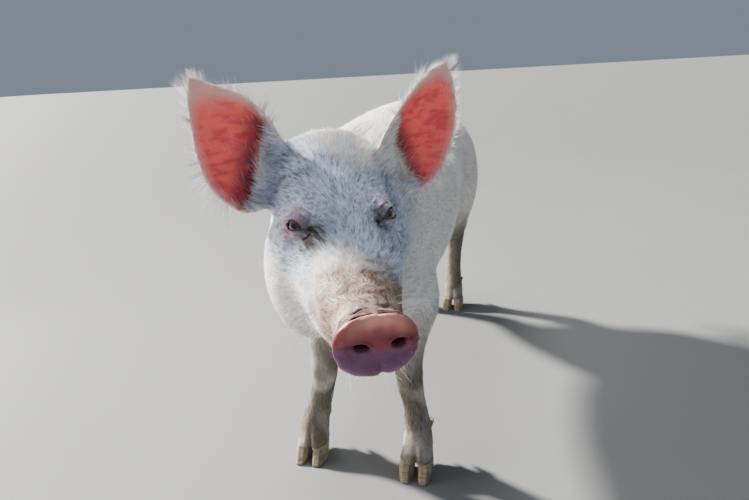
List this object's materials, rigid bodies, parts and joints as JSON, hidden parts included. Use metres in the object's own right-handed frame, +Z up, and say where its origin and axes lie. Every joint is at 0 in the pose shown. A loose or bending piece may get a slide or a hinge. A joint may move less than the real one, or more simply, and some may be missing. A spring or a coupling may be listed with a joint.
{
  "type": "young white pig",
  "caption": "Young white pig with upright ears and a curled tail, standing on four cloven hooves with its head turned to its left.",
  "frame": {"origin": "on the floor, under the middle of the pig's bounding box", "axes": "-Y is forwards along the body towards the snout, +Y is towards the tail, +X is the pig's left and +Z is up"},
  "size_m": [0.2272, 0.8608, 0.4502],
  "materials": {
    "skin": "matte skin under a short white coat",
    "ear": "matte, thin and translucent",
    "snout": "moist satin",
    "hoof": "worn matte horn",
    "eye": "wet gloss"
  },
  "bodies": {
    "root": {"barrel": "skin", "ear_left": "ear", "ear_right": "ear", "eye_left": "eye", "eye_right": "eye", "front_left_cannon": "skin", "front_left_dewclaw_inner": "hoof", "front_left_dewclaw_outer": "hoof", "front_left_hoof_inner": "hoof", "front_left_hoof_outer": "hoof", "front_left_shank": "skin", "front_right_cannon": "skin", "front_right_dewclaw_inner": "hoof", "front_right_dewclaw_outer": "hoof", "front_right_hoof_inner": "hoof", "front_right_hoof_outer": "hoof", "front_right_shank": "skin", "head": "skin", "hind_left_cannon": "skin", "hind_left_dewclaw_inner": "hoof", "hind_left_dewclaw_outer": "hoof", "hind_left_hoof_inner": "hoof", "hind_left_hoof_outer": "hoof", "hind_left_shank": "skin", "hind_right_cannon": "skin", "hind_right_dewclaw_inner": "hoof", "hind_right_dewclaw_outer": "hoof", "hind_right_hoof_inner": "hoof", "hind_right_hoof_outer": "hoof", "hind_right_shank": "skin", "hindquarters": "skin", "jaw": "skin", "neck": "skin", "shoulders": "skin", "snout": "snout", "tail": "skin"}
  },
  "joints": []
}
